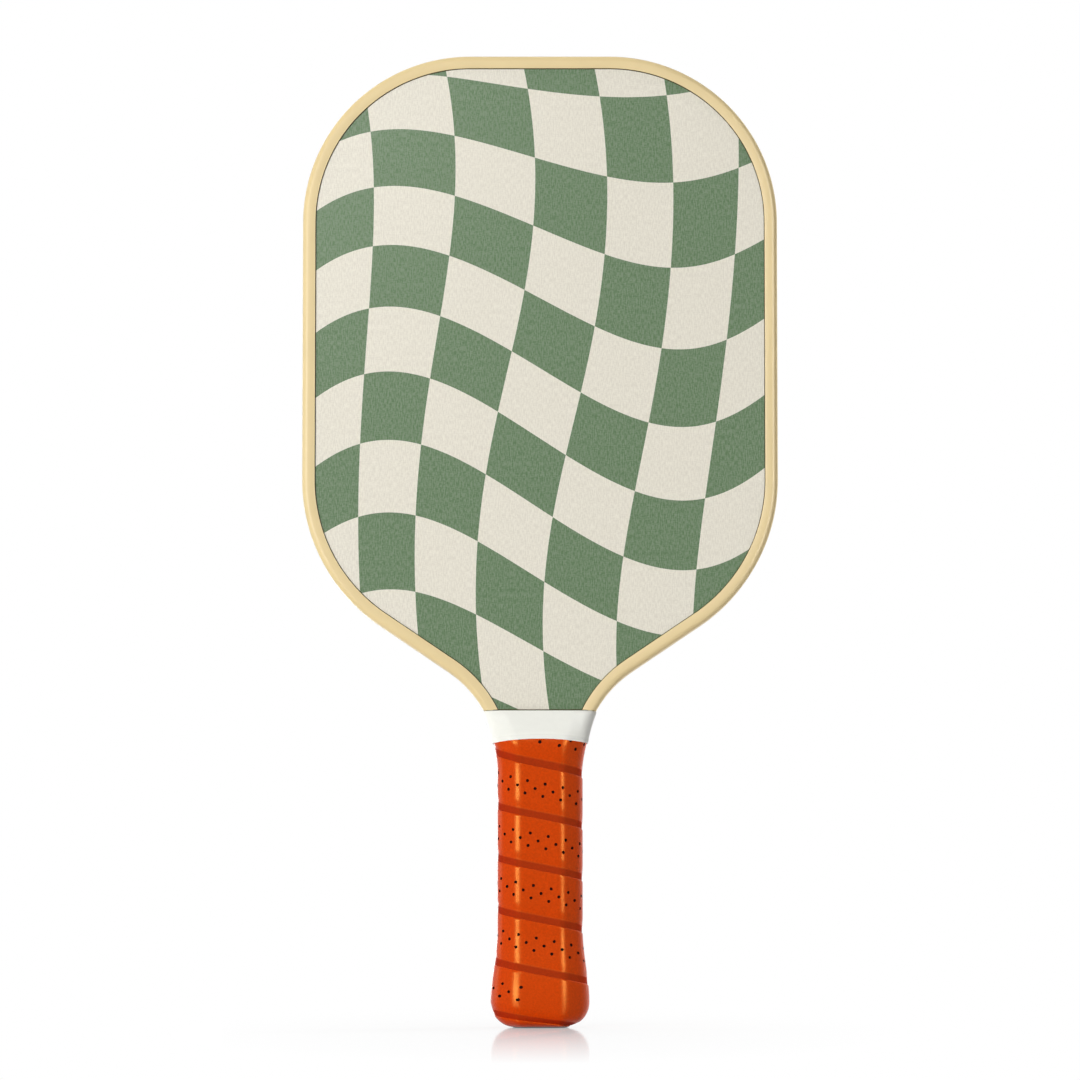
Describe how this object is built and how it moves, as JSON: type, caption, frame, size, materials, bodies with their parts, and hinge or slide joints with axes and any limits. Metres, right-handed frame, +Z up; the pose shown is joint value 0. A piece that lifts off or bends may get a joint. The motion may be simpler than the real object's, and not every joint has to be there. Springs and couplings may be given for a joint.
{
  "type": "pickleball paddle",
  "caption": "Pickleball paddle: flat honeycomb head with rounded corners and an edge guard, on an eight-sided handle wound with perforated grip tape under a rubber collar.",
  "frame": {"origin": "Centre of the flat butt end, so the paddle stands upright on it.", "axes": "+Z runs up the handle to the top of the head, +X to the right across the head as the picture shows it, and -Y is out of the front face."},
  "size_m": [0.1986, 0.0334, 0.406],
  "materials": {
    "core": "welded polypropylene honeycomb, pale and slightly milky",
    "film": "cured adhesive film",
    "face": "glass-fibre sheet with a fine linen texture, printed in a wavy check of sage green and warm white",
    "guard": "extruded plastic in pale cream, satin",
    "pallet": "rigid polyurethane foam",
    "cap": "moulded plastic, fine matte texture",
    "grip": "perforated polyurethane leather in orange, semi-gloss",
    "finish_tape": "thin cloth tape",
    "collar": "white silicone rubber, smooth"
  },
  "bodies": {
    "root": {"honeycomb_core": "core", "front_bond_film": "film", "rear_bond_film": "film", "front_face": "face", "rear_face": "face", "edge_guard": "guard", "front_handle_pallet": "pallet", "rear_handle_pallet": "pallet", "butt_cap": "cap", "grip_tape": "grip", "finishing_tape": "finish_tape", "grip_collar": "collar"}
  },
  "joints": []
}
